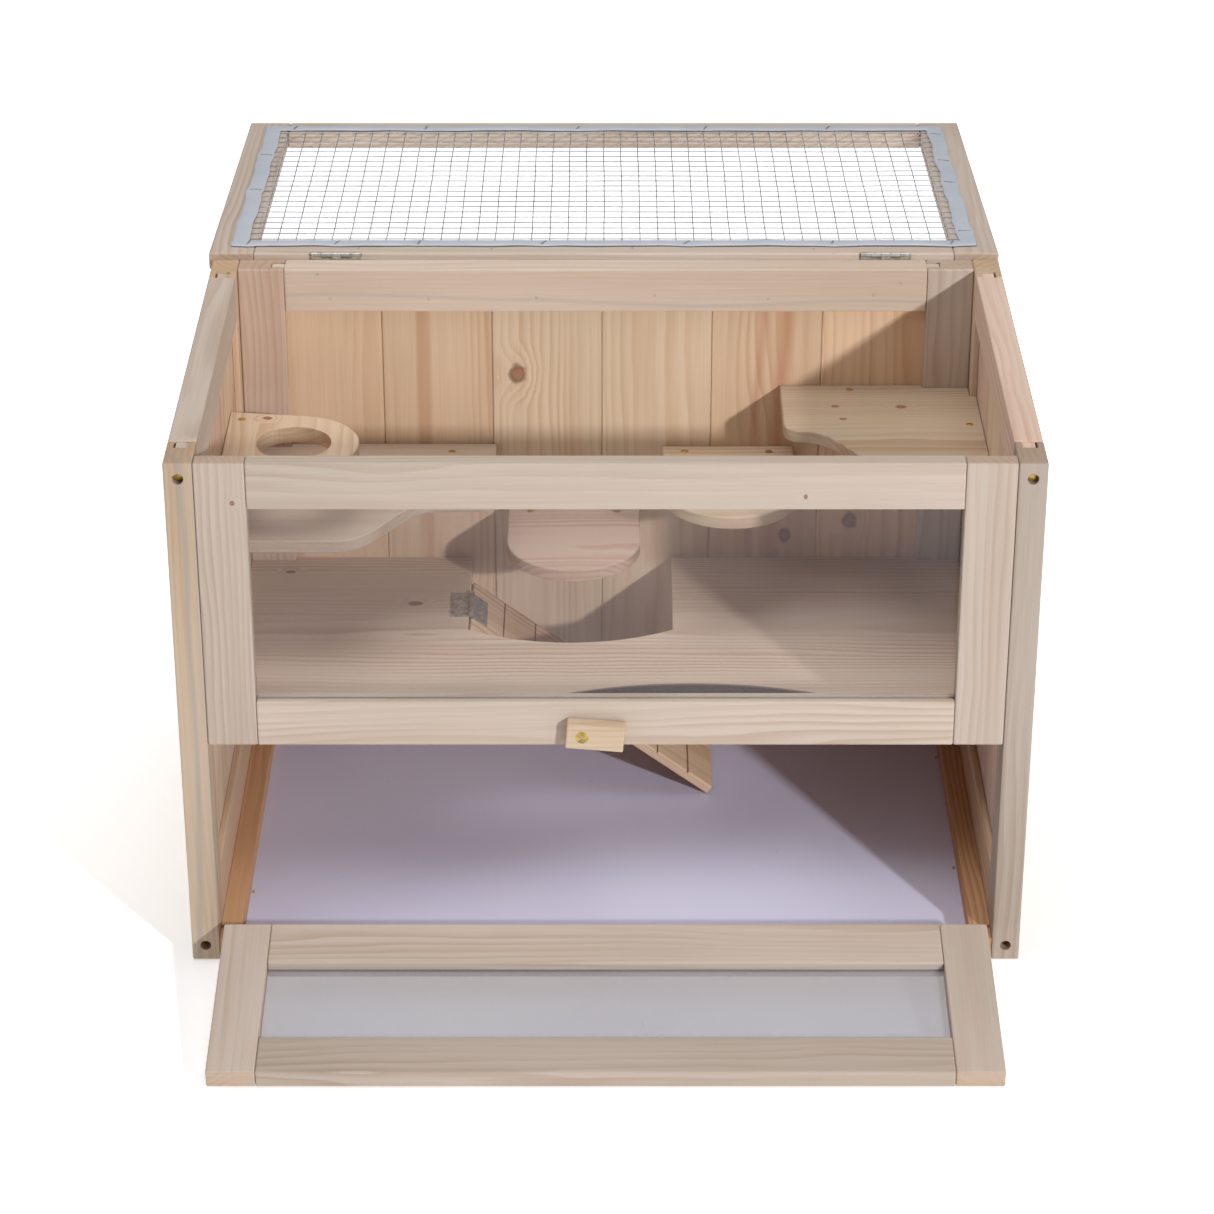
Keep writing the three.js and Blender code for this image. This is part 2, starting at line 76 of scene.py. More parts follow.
def addNode(tree, kind, inputs=None, out=0, **settings):
    # adds one node with its settings and links, and gives the socket that the next one reads
    node = tree.nodes.new("ShaderNode" + kind)
    for name, value in settings.items():
        setattr(node, name, value)
    for socket, value in (inputs or {}).items():
        if isinstance(value, bpy.types.NodeSocket):
            tree.links.new(value, node.inputs[socket])
        else:
            node.inputs[socket].default_value = value
    return node.outputs[out] if node.outputs else None


def newMaterial(name):
    material = bpy.data.materials.new(name)
    material.use_nodes = True
    material.node_tree.nodes.clear()
    return material


def deselect():
    if bpy.context.object and bpy.context.object.mode != "OBJECT":
        bpy.ops.object.mode_set(mode="OBJECT")
    bpy.ops.object.select_all(action="DESELECT")


def activate(piece):
    deselect()
    piece.select_set(True)
    bpy.context.view_layer.objects.active = piece


def applyModifier(piece, kind, **settings):
    activate(piece)
    modifier = piece.modifiers.new(kind.lower(), kind)
    for name, value in settings.items():
        setattr(modifier, name, value)
    bpy.ops.object.modifier_apply(modifier=modifier.name)


def applyPlace(piece, place=None):
    if place is not None:
        piece.matrix_world = place @ piece.matrix_world
    activate(piece)
    bpy.ops.object.transform_apply(location=True, rotation=True, scale=True)


def selectFaces(piece, test):
    activate(piece)
    bpy.ops.object.mode_set(mode="EDIT")
    bpy.ops.mesh.select_mode(type="FACE")
    bpy.ops.mesh.select_all(action="DESELECT")
    bpy.ops.object.mode_set(mode="OBJECT")
    for face in piece.data.polygons:
        face.select = test(face)
    bpy.ops.object.mode_set(mode="EDIT")


def copyTo(master, name, place):
    mesh = master.data.copy()
    mesh.transform(place)
    copy = bpy.data.objects.new(name, mesh)
    bpy.context.collection.objects.link(copy)
    return copy


def joinAs(pieces, name):
    deselect()
    for piece in pieces:
        piece.select_set(True)
    bpy.context.view_layer.objects.active = pieces[0]
    bpy.ops.object.join()
    joined = bpy.context.object
    joined.name = name
    joined.data.name = name
    return joined


def remove(piece):
    bpy.data.objects.remove(piece, do_unlink=True)


def finishPiece(piece, material, body, smoothAngle=None):
    piece.data.materials.clear()
    piece.data.materials.append(material)
    if smoothAngle is not None:
        activate(piece)
        bpy.ops.object.shade_smooth_by_angle(angle=math.radians(smoothAngle))
    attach(piece, body)


camera = {"place": (0.001, -2.405, 1.459), "pitch": 27.74, "lens": 108.0}
lamps = {
    "key": {"place": (1.71, -2.7, 1.45), "aim": (0, 0, 0.2), "size": 0.12, "power": 66.0},
    "top": {"place": (-0.1, 0.2, 2.5), "aim": (0, 0.1, 0.2), "size": 2.0, "power": 34.0},
    "left": {"place": (-1.9, -0.6, 1.7), "aim": (0, 0, 0.2), "size": 1.4, "power": 9.0},
}
skyStrength = 0.12
ground = {
    "size": 60,
    "drop": 0.6 * mm,
    "colour": "#FFFFFF",
    "dust": (0.9, 0.9, 0.9, 1),
    "dustShare": 0.05,
    # the paper glows more toward the back, between these two depths
    "frontGlow": 0.34,
    "backGlow": 0.75,
    "front": -0.2,
    "back": 1.0,
}


def addCamera():
    data = bpy.data.cameras.new("camera")
    data.lens = camera["lens"]
    data.sensor_width = 36.0
    view = bpy.data.objects.new("camera", data)
    view.location = camera["place"]
    view.rotation_euler = (math.radians(90 - camera["pitch"]), 0, 0)
    bpy.context.collection.objects.link(view)
    bpy.context.scene.camera = view


def addLamps():
    for name, lamp in lamps.items():
        data = bpy.data.lights.new(name, "AREA")
        data.size = lamp["size"]
        data.energy = lamp["power"]
        place = Vector(lamp["place"])
        light = bpy.data.objects.new(name, data)
        light.location = place
        light.rotation_euler = (Vector(lamp["aim"]) - place).to_track_quat("-Z", "Y").to_euler()
        bpy.context.collection.objects.link(light)
    world = bpy.data.worlds.new("studio")
    world.use_nodes = True
    world.node_tree.nodes["Background"].inputs[0].default_value = (1, 1, 1, 1)
    world.node_tree.nodes["Background"].inputs[1].default_value = skyStrength
    bpy.context.scene.world = world


def addGround():
    # matt white paper that glows a little, so that it stays white under the lamps
    material = newMaterial("matt white studio paper")
    tree = material.node_tree
    place = addNode(tree, "TexCoord", out="Object")
    depth = addNode(tree, "SeparateXYZ", {0: place}, out="Y")
    glow = addNode(tree, "MapRange", {
        0: depth, 1: ground["front"], 2: ground["back"], 3: ground["frontGlow"], 4: ground["backGlow"],
    }, interpolation_type="SMOOTHSTEP")
    cloud = addNode(tree, "TexNoise", {"Vector": place, "Scale": 3.0, "Detail": 2.0})
    tone = addNode(tree, "MapRange", {0: cloud, 3: 0.0, 4: ground["dustShare"]})
    colour = addNode(tree, "Mix", {0: tone, 6: linear(ground["colour"]), 7: ground["dust"]},
                     out=2, data_type="RGBA")
    surface = addNode(tree, "BsdfPrincipled", {
        "Base Color": colour, "Roughness": 0.9, "Specular IOR Level": 0.0,
        "Emission Color": (1, 1, 1, 1), "Emission Strength": glow})
    addNode(tree, "OutputMaterial", {"Surface": surface})
    deselect()
    bpy.ops.mesh.primitive_plane_add(size=ground["size"], location=(0, 0, -ground["drop"]))
    paper = bpy.context.object
    paper.name = "ground"
    paper.data.materials.append(material)


addCamera()
addLamps()
addGround()
bpy.context.scene.view_settings.view_transform = "Standard"
print("camera, lamps and ground placed")

# planed unfinished pine: pale early wood, thin warmer late-wood lines, fine fibre, a dry soft sheen
tones = {
    "cream": {"early": "#CDBDB0", "late": "#B59B87", "deep": 0.55},
    "blush": {"early": "#D0BDAC", "late": "#B99A83", "deep": 0.5},
    "rose": {"early": "#D0B8A7", "late": "#B98F77", "deep": 0.55},
    "honey": {"early": "#DDBFA2", "late": "#B98C66", "deep": 0.6},
    "sand": {"early": "#D6BFA6", "late": "#BB9673", "deep": 0.55},
    "orange": {"early": "#CFA27B", "late": "#A46F48", "deep": 0.6},
}
pineLook = {
    "spacing": 4.6 * mm,
    "streaks": 0.3,
    "blueStain": "#8E9298",
    "cutEnd": "#A98663",
    "endShare": 0.4,
    "taper": (0.02, 1, 1),
    "roughness": (0.74, 0.6),
    "relief": 0.35,
    "grainDepth": 0.25 * mm,
    # how far each pattern shifts the rings, in rings
    "shifts": {"sway": 4.8, "growth": 3.0, "ripple": 0.5},
}
# how fast each pattern changes along and across the grain, and how fine it is
patterns = {
    "sway": {"scale": (3.2, 16, 16), "detail": 2.0},
    "ripple": {"scale": (14, 60, 60), "detail": 2.0},
    "growth": {"scale": (0.8, 34, 34), "detail": 1.0},
    "group": {"scale": (2, 26, 26), "detail": 1.0},
    "fibre": {"scale": (14, 620, 620), "detail": 3.0, "roughness": 0.6},
    "patch": {"scale": (4, 13, 13), "detail": 2.0},
    "streak": {"scale": (1.6, 44, 44), "detail": 2.0},
}
# distances from a knot's centre are in its own radii
knotLook = {
    "heart": "#9A5E3C",
    "dark": "#6E4630",
    "rim": "#5A3A26",
    "heartShare": 0.75,
    "rimShare": 0.5,
    "rings": 3.0,
    "uneven": 0.9,
    "bend": 1.9,
    "bendReach": 5.0,
}


def turnToGrain(grain):
    # the turn that lays a piece's grain along X
    turns = {
        "x": Matrix(),
        "y": Matrix.Rotation(-math.pi / 2, 4, "Z"),
        "z": Matrix.Rotation(math.pi / 2, 4, "Y"),
        "ramp": Matrix.Rotation(-rampSlope, 4, "Y"),
        "lid": Matrix.Rotation(-math.pi / 2, 4, "Z") @ Matrix.Rotation(lidTilt, 4, "X"),
        "door": Matrix.Rotation(-math.pi / 2, 4, "Z") @ Matrix.Rotation(-doorTilt, 4, "X"),
    }
    return turns[grain]


def pineMaterial(piece, look):
    material = newMaterial("planed pine " + piece)
    tree = material.node_tree
    tone = tones[look["tone"]]
    turn = turnToGrain(look.get("grain", "z"))
    place = addNode(tree, "TexCoord", out="Object")
    normal = addNode(tree, "TexCoord", out="Normal")
    pith = look.get("pith") or (draw.uniform(-70, 70), draw.choice((-1, 1)) * draw.uniform(25, 85))
    light = look.get("light") or draw.uniform(0.95, 1.04)
    start = Vector((draw.uniform(-3, 3), pith[0] * mm, pith[1] * mm)) - turn @ boxCentre(piece)
    along = addNode(tree, "Mapping", {"Vector": place, "Location": start, "Rotation": turn.to_euler()})

    noise = {}
    for name, pattern in patterns.items():
        spread = addNode(tree, "VectorMath", {0: along, 1: pattern["scale"]}, operation="MULTIPLY")
        noise[name] = addNode(tree, "TexNoise", {
            "Vector": spread, "Scale": 1.0, "Detail": pattern["detail"],
            "Roughness": pattern.get("roughness", 0.5)})

    # rings round the pith: they wander along the board, and years of slow growth lie closer
    tapered = addNode(tree, "VectorMath", {0: along, 1: pineLook["taper"]}, operation="MULTIPLY")
    radius = addNode(tree, "VectorMath", {0: tapered}, out=1, operation="LENGTH")
    spacing = look.get("spacing", pineLook["spacing"])
    rings = addNode(tree, "Math", {0: radius, 1: spacing}, operation="DIVIDE")
    for name, shift in pineLook["shifts"].items():
        rings = addNode(tree, "Math", {0: noise[name], 1: shift, 2: rings}, operation="MULTIPLY_ADD")

    # the grain bends round each knot, which has a dark rim and rings of its own
    knotMask = None
    for centre, plane, size in look.get("knots", ()):
        offset = addNode(tree, "VectorMath", {0: place, 1: Vector(centre) * mm}, operation="SUBTRACT")
        flat = addNode(tree, "VectorMath", {0: offset, 1: Vector(plane) / (size * mm)}, operation="MULTIPLY")
        distance = addNode(tree, "VectorMath", {0: flat}, out=1, operation="LENGTH")
        wobble = addNode(tree, "TexNoise", {"Vector": place, "Scale": 150.0, "Detail": 2.0})
        away = addNode(tree, "Math", {0: wobble, 1: knotLook["uneven"], 2: distance},
                       operation="MULTIPLY_ADD")
        bend = addNode(tree, "MapRange", {
            0: away, 1: 0.8, 2: knotLook["bendReach"], 3: knotLook["bend"], 4: 0.0,
        }, interpolation_type="SMOOTHSTEP")
        rings = addNode(tree, "Math", {0: rings, 1: bend}, operation="ADD")
        inside = addNode(tree, "MapRange", {0: away, 1: 1.1, 2: 1.9, 3: 1.0, 4: 0.0},
                         interpolation_type="SMOOTHSTEP")
        outer = addNode(tree, "MapRange", {0: away, 1: 1.4, 2: 2.0, 3: 1.0, 4: 0.0},
                        interpolation_type="SMOOTHSTEP")
        inner = addNode(tree, "MapRange", {0: away, 1: 0.9, 2: 1.4}, interpolation_type="SMOOTHSTEP")
        rim = addNode(tree, "Math", {0: outer, 1: inner}, operation="MULTIPLY")
        turns = addNode(tree, "Math", {0: away, 1: knotLook["rings"]}, operation="MULTIPLY")
        core = addNode(tree, "Math", {0: turns, 1: 0.5}, operation="PINGPONG")
        if knotMask is None:
            knotMask, knotRim, knotCore = inside, rim, core
        else:
            knotCore = addNode(tree, "Mix", {0: inside, 2: knotCore, 3: core}, data_type="FLOAT")
            knotMask = addNode(tree, "Math", {0: knotMask, 1: inside}, operation="MAXIMUM")
            knotRim = addNode(tree, "Math", {0: knotRim, 1: rim}, operation="MAXIMUM")

    # each ring darkens slowly and ends sharply; whole groups of rings come out paler or darker
    ring = addNode(tree, "Math", {0: rings}, operation="FRACT")
    rise = addNode(tree, "MapRange", {0: ring, 1: 0.2, 2: 0.88}, interpolation_type="SMOOTHSTEP")
    fall = addNode(tree, "MapRange", {0: ring, 1: 0.9, 2: 1.0, 3: 1.0, 4: 0.0},
                   interpolation_type="SMOOTHSTEP")
    late = addNode(tree, "Math", {0: rise, 1: fall}, operation="MULTIPLY")
    strength = addNode(tree, "MapRange", {0: noise["group"], 1: 0.32, 2: 0.68, 3: 0.12, 4: 1.0},
                       interpolation_type="SMOOTHSTEP")
    late = addNode(tree, "Math", {0: late, 1: strength}, operation="MULTIPLY")
    late = addNode(tree, "Math", {0: late, 1: look.get("deep", tone["deep"])}, operation="MULTIPLY")
    lateColour = linear(tone["late"], light)
    colour = addNode(tree, "Mix", {0: late, 6: linear(tone["early"], light), 7: lateColour},
                     out=2, data_type="RGBA")

    # fine fibres and broad patches shade it, and resin streaks redden it
    fibreShade = addNode(tree, "MapRange", {0: noise["fibre"], 1: 0.25, 2: 0.75, 3: 0.93, 4: 1.03})
    patchShade = addNode(tree, "MapRange", {0: noise["patch"], 1: 0.3, 2: 0.7, 3: 0.93, 4: 1.03})
    shade = addNode(tree, "Math", {0: fibreShade, 1: patchShade}, operation="MULTIPLY")
    warm = addNode(tree, "Math", {0: shade, 1: 1.3}, operation="POWER")
    shadeColour = addNode(tree, "CombineColor", {0: shade, 1: shade, 2: warm})
    colour = addNode(tree, "Mix", {0: 1.0, 6: colour, 7: shadeColour},
                     out=2, data_type="RGBA", blend_type="MULTIPLY")
    reddest = look.get("streaks", pineLook["streaks"])
    redness = addNode(tree, "MapRange", {0: noise["streak"], 1: 0.5, 2: 0.7, 3: 0.0, 4: reddest},
                      interpolation_type="SMOOTHSTEP")
    colour = addNode(tree, "Mix", {0: redness, 6: colour, 7: lateColour}, out=2, data_type="RGBA")

    # the cut ends take in more dirt and look darker
    endWard = turn.inverted().to_3x3() @ Vector((1, 0, 0))
    facing = addNode(tree, "VectorMath", {0: normal, 1: endWard}, out=1, operation="DOT_PRODUCT")
    facing = addNode(tree, "Math", {0: facing}, operation="ABSOLUTE")
    ends = addNode(tree, "MapRange", {0: facing, 1: 0.75, 2: 0.95, 3: 0.0, 4: pineLook["endShare"]},
                   interpolation_type="SMOOTHSTEP")
    colour = addNode(tree, "Mix", {0: ends, 6: colour, 7: linear(pineLook["cutEnd"])},
                     out=2, data_type="RGBA")

    if knotMask is not None:
        heart = addNode(tree, "Mix", {
            0: knotCore, 6: linear(knotLook["heart"]), 7: linear(knotLook["dark"]),
        }, out=2, data_type="RGBA")
        heartShare = addNode(tree, "Math", {0: knotMask, 1: knotLook["heartShare"]}, operation="MULTIPLY")
        colour = addNode(tree, "Mix", {0: heartShare, 6: colour, 7: heart}, out=2, data_type="RGBA")
        rimShare = addNode(tree, "Math", {0: knotRim, 1: knotLook["rimShare"]}, operation="MULTIPLY")
        colour = addNode(tree, "Mix", {0: rimShare, 6: colour, 7: linear(knotLook["rim"])},
                         out=2, data_type="RGBA")
    for stain in look.get("stains", ()):
        # a stain follows a line across the board that drifts up to half of this either way
        drift = 30 * mm
        across = addNode(tree, "VectorMath", {0: place, 1: Vector(stain["across"])},
                         out=1, operation="DOT_PRODUCT")
        line = addNode(tree, "Math", {0: noise["sway"], 1: drift, 2: across}, operation="MULTIPLY_ADD")
        line = addNode(tree, "Math", {0: line, 1: stain["at"] * mm + drift / 2}, operation="SUBTRACT")
        line = addNode(tree, "Math", {0: line}, operation="ABSOLUTE")
        mask = addNode(tree, "MapRange", {
            0: line, 1: 0.0, 2: stain["width"] * mm, 3: stain["strength"], 4: 0.0,
        }, interpolation_type="SMOOTHSTEP")
        stainColour = linear(stain.get("colour", pineLook["blueStain"]))
        colour = addNode(tree, "Mix", {0: mask, 6: colour, 7: stainColour}, out=2, data_type="RGBA")
    if "paintedShadeEdge" in look:
        # painted shade: faces turned to the front are darkened brown, standing in for the shadow on the
        # platform's front edge behind the window's bottom rail
        front = addNode(tree, "VectorMath", {0: normal, 1: (0, -1, 0)}, out=1, operation="DOT_PRODUCT")
        paintedShade = addNode(tree, "MapRange", {0: front, 1: 0.35, 2: 0.8, 3: 0.0, 4: 0.85})
        colour = addNode(tree, "Mix", {0: paintedShade, 6: colour, 7: linear(look["paintedShadeEdge"])},
                         out=2, data_type="RGBA")

    dry, rubbed = pineLook["roughness"]
    roughness = addNode(tree, "MapRange", {0: noise["fibre"], 1: 0.2, 2: 0.8, 3: dry, 4: rubbed})
    relief = addNode(tree, "Math", {0: late, 1: 0.4, 2: noise["fibre"]}, operation="MULTIPLY_ADD")
    bump = addNode(tree, "Bump", {
        "Strength": pineLook["relief"], "Distance": pineLook["grainDepth"], "Height": relief})
    surface = addNode(tree, "BsdfPrincipled", {
        "Base Color": colour, "Roughness": roughness, "Specular IOR Level": 0.3, "Normal": bump})
    addNode(tree, "OutputMaterial", {"Surface": surface})
    return material


def dress(name, material):
    for slot in nodes[name].material_slots:
        slot.material = material


# every wooden piece: its tone, the way its grain runs, and its knots as (place, plane, size) in mm;
# a plane stretches the distance along each axis, and a 0 runs the knot right through the board
facingY = (1, 0, 0.8)
facingZ = (0.7, 1, 0)
redStreak = "#B8765A"
greyStreak = "#A39E9C"
greyStain = [{"across": (1, 0.4, 0), "at": -366, "width": 4, "strength": 0.4},
             {"across": (1, 0.4, 0), "at": -357, "width": 3, "strength": 0.25}]
redStain = [{"across": (1, 0, 0), "at": 116, "width": 6, "strength": 0.4, "colour": redStreak},
            {"across": (1, 0, 0), "at": 134, "width": 9, "strength": 0.45, "colour": redStreak}]
wide = 7.5 * mm
# each piece's light value scales its colours: it holds the board's own tone and also painted light and shade,
# lighter or darker as the piece stands in more or less light
pine = {
    "back_plank_1": {"tone": "honey", "light": 1.06, "spacing": wide, "streaks": 0.5, "deep": 0.3},
    "back_plank_2": {"tone": "honey", "light": 1.0, "spacing": wide, "streaks": 0.6, "deep": 0.4,
                     "pith": (10, 45)},
    "back_plank_3": {"tone": "sand", "light": 1.08, "spacing": wide, "streaks": 0.35, "deep": 0.5,
                     "pith": (-12, 60), "knots": [((-68, 166, 310), facingY, 5.5)]},
    "back_plank_4": {"tone": "sand", "light": 1.12, "spacing": wide, "streaks": 0.25, "deep": 0.4,
                     "pith": (60, 35)},
    "back_plank_5": {"tone": "honey", "light": 1.02, "spacing": wide, "streaks": 0.4, "deep": 0.45,
                     "pith": (-4, 70), "knots": [((141, 166, 171), facingY, 4.0)], "stains": redStain},
    "back_plank_6": {"tone": "honey", "light": 1.16, "spacing": wide, "streaks": 0.4, "deep": 0.5,
                     "pith": (5, 40), "knots": [((192, 166, 184), facingY, 4.5)]},
    "back_stile_left": {"tone": "rose", "light": 1.0},
    "back_stile_right": {"tone": "cream", "light": 1.0},
    "back_rail_top": {"tone": "blush", "grain": "x", "light": 1.1, "deep": 0.35, "stains": [
        {"across": (0, 0, 1), "at": 372, "width": 3, "strength": 0.25, "colour": greyStreak}]},
    "back_rail_bottom": {"tone": "rose", "grain": "x"},
    "left_stile_front": {"tone": "sand", "light": 0.84, "stains": greyStain},
    "left_stile_back": {"tone": "honey", "light": 1.0},
    "left_rail_top": {"tone": "cream", "grain": "y", "light": 0.98},
    "left_rail_bottom": {"tone": "honey", "grain": "y", "light": 0.92},
    "left_plank_1": {"tone": "sand", "light": 1.08, "spacing": wide},
    "left_plank_2": {"tone": "rose", "light": 1.12, "spacing": wide},
    "left_plank_3": {"tone": "sand", "light": 1.1, "spacing": wide},
    "right_stile_front": {"tone": "cream", "light": 0.72},
    "right_stile_back": {"tone": "sand", "light": 1.0},
    "right_rail_top": {"tone": "rose", "grain": "y", "light": 1.2},
    "right_rail_bottom": {"tone": "honey", "grain": "y", "light": 0.9},
    "right_plank_1": {"tone": "rose", "light": 1.15, "spacing": wide},
    "right_plank_2": {"tone": "sand", "light": 1.12, "spacing": wide},
    "right_plank_3": {"tone": "rose", "light": 1.15, "spacing": wide},
    "window_stile_left": {"tone": "cream", "light": 0.9, "knots": [((-254, -181, 369), facingY, 1.2)]},
    "window_stile_right": {"tone": "cream", "light": 0.88},
    "window_rail_top": {"tone": "cream", "grain": "x", "light": 0.93, "knots": [
        ((136, -181, 374), facingY, 1.1)]},
    "window_rail_bottom": {"tone": "cream", "grain": "x", "light": 1.04, "pith": (4, 30)},
    "door_stile_left": {"tone": "cream", "grain": "door", "light": 1.0, "pith": (10, 30)},
    "door_stile_right": {"tone": "cream", "grain": "door", "light": 1.0, "pith": (-12, 30)},
    "door_rail_bottom": {"tone": "cream", "grain": "x", "light": 1.08},
    "door_rail_top": {"tone": "cream", "grain": "x", "light": 0.83},
    "lid_stile_left": {"tone": "cream", "grain": "lid", "light": 1.02},
    "lid_stile_right": {"tone": "cream", "grain": "lid", "light": 1.02},
    "lid_rail_front": {"tone": "cream", "grain": "x", "light": 1.1},
    "lid_rail_back": {"tone": "cream", "grain": "x", "light": 1.08, "deep": 0.35},
    "floor_frame": {"tone": "orange", "grain": "y"},
    # the platform's dark brown front edge is painted shade
    "platform": {"tone": "blush", "grain": "x", "light": 1.12, "paintedShadeEdge": "#3D2C24", "deep": 0.8, "knots": [
        ((-147, 86, 152), facingZ, 3.2), ((-247, 140, 152), facingZ, 2.2)]},
    "shelf_lower_left": {"tone": "blush", "grain": "x", "light": 0.9},
    "shelf_upper_right": {"tone": "sand", "grain": "x", "light": 0.78, "knots": [
        ((175, 126, 301), facingZ, 1.8), ((225, 125, 301), facingZ, 2.4), ((180, 103, 301), facingZ, 1.6)]},
    "shelf_ring": {"tone": "sand", "grain": "y", "light": 1.05, "knots": [((-256, 100, 303), facingZ, 2.2)]},
    "shelf_half_round_low": {"tone": "rose", "grain": "x", "light": 1.0},
    "shelf_half_round_high": {"tone": "sand", "grain": "x", "light": 1.0},
    "ramp_board": {"tone": "honey", "grain": "ramp", "light": 1.0},
    "latch": {"tone": "sand", "grain": "x", "light": 1.0},
}


def dressPine():
    for name, look in pine.items():
        dress(name, pineMaterial(name, look))


dressPine()
print("pine finished:", len(pine), "pieces")

# cast acrylic sheet: clear, with a faint haze and fine rubbing that catch the light; the door pane's heavier
# grey cover is painted shade
acrylics = {
    "window_pane": {"tint": "#7A7A84", "pale": "#9A9AA2", "opacity": 0.09},
    # painted shade: the door pane's grey tint and heavy cover stand in for the shadow of its frame on the
    # ground seen through it
    "door_pane": {"tint": "#A3A1AA", "pale": "#B3B1BA", "opacity": 0.42},
}


def acrylicMaterial(name, look):
    material = newMaterial("cast acrylic " + name)
    tree = material.node_tree
    place = addNode(tree, "TexCoord", out="Object")
    cloudPlace = addNode(tree, "VectorMath", {0: place, 1: (1, 1, 2.5)}, operation="MULTIPLY")
    cloud = addNode(tree, "TexNoise", {"Vector": cloudPlace, "Scale": 6.0, "Detail": 3.0})
    rubPlace = addNode(tree, "VectorMath", {0: place, 1: (30, 400, 400)}, operation="MULTIPLY")
    rub = addNode(tree, "TexNoise", {"Vector": rubPlace, "Scale": 1.0, "Detail": 2.0})
    share = addNode(tree, "MapRange", {0: cloud, 1: 0.3, 2: 0.7})
    colour = addNode(tree, "Mix", {0: share, 6: linear(look["tint"]), 7: linear(look["pale"])},
                     out=2, data_type="RGBA")
    roughness = addNode(tree, "MapRange", {0: rub, 1: 0.4, 2: 0.8, 3: 0.05, 4: 0.14})
    opacity = addNode(tree, "MapRange", {0: cloud, 1: 0.3, 2: 0.7, 3: look["opacity"] * 0.9, 4: look["opacity"] * 1.1})
    surface = addNode(tree, "BsdfPrincipled", {
        "Base Color": colour, "Roughness": roughness, "Alpha": opacity, "IOR": 1.49})
    addNode(tree, "OutputMaterial", {"Surface": surface})
    return material


whiteBoard = {"pale": "#DEDCF4", "dull": "#D6D4EE", "speck": "#8F8794", "speckShare": 0.35}


def whiteBoardMaterial():
    # hardboard with a white melamine face: smooth, a little lilac, faintly uneven
    material = newMaterial("white melamine hardboard")
    tree = material.node_tree
    place = addNode(tree, "TexCoord", out="Object")
    cloud = addNode(tree, "TexNoise", {"Vector": place, "Scale": 5.0, "Detail": 2.0})
    grit = addNode(tree, "TexNoise", {"Vector": place, "Scale": 220.0, "Detail": 1.0})
    share = addNode(tree, "MapRange", {0: cloud, 1: 0.3, 2: 0.7})
    colour = addNode(tree, "Mix", {0: share, 6: linear(whiteBoard["dull"]), 7: linear(whiteBoard["pale"])},
                     out=2, data_type="RGBA")
    speck = addNode(tree, "MapRange", {0: grit, 1: 0.78, 2: 0.82, 3: 0.0, 4: whiteBoard["speckShare"]})
    colour = addNode(tree, "Mix", {0: speck, 6: colour, 7: linear(whiteBoard["speck"])},
                     out=2, data_type="RGBA")
    roughness = addNode(tree, "MapRange", {0: cloud, 1: 0.3, 2: 0.7, 3: 0.34, 4: 0.44})
    orangePeel = addNode(tree, "TexNoise", {"Vector": place, "Scale": 900.0, "Detail": 2.0})
    bump = addNode(tree, "Bump", {"Strength": 0.15, "Distance": 0.0002, "Height": orangePeel})
    surface = addNode(tree, "BsdfPrincipled", {"Base Color": colour, "Roughness": roughness, "Normal": bump})
    addNode(tree, "OutputMaterial", {"Surface": surface})
    return material


# plated steel: bright where it is rubbed, duller in cloudy patches
metals = {
    "zinc plated steel": {
        "bright": "#CBC8C2", "dull": "#9C9890", "smooth": 0.34, "rough": 0.48, "metal": 0.7},
    "yellow zinc plated steel": {
        "bright": "#D9BC6C", "dull": "#A8873F", "smooth": 0.26, "rough": 0.4, "metal": 0.85},
    "galvanised wire": {
        "bright": "#B4B7BD", "dull": "#94979E", "smooth": 0.4, "rough": 0.55, "metal": 0.6},
    "nail in its hole": {
        "bright": "#3A2E26", "dull": "#251D18", "smooth": 0.6, "rough": 0.8, "metal": 0.3},
}


def metalMaterial(name):
    look = metals[name]
    material = newMaterial(name)
    tree = material.node_tree
    place = addNode(tree, "TexCoord", out="Object")
    cloud = addNode(tree, "TexNoise", {"Vector": place, "Scale": 260.0, "Detail": 3.0})
    share = addNode(tree, "MapRange", {0: cloud, 1: 0.35, 2: 0.7})
    colour = addNode(tree, "Mix", {0: share, 6: linear(look["bright"]), 7: linear(look["dull"])},
                     out=2, data_type="RGBA")
    roughness = addNode(tree, "MapRange", {0: cloud, 1: 0.3, 2: 0.7, 3: look["smooth"], 4: look["rough"]})
    grain = addNode(tree, "TexNoise", {"Vector": place, "Scale": 1400.0, "Detail": 2.0})
    bump = addNode(tree, "Bump", {"Strength": 0.2, "Distance": 0.0001, "Height": grain})
    surface = addNode(tree, "BsdfPrincipled", {
        "Base Color": colour, "Roughness": roughness, "Metallic": look["metal"], "Normal": bump})
    addNode(tree, "OutputMaterial", {"Surface": surface})
    return material


tapeLook = {"pale": "#C9CED8", "dull": "#BDC3CE", "crease": 0.4 * mm}


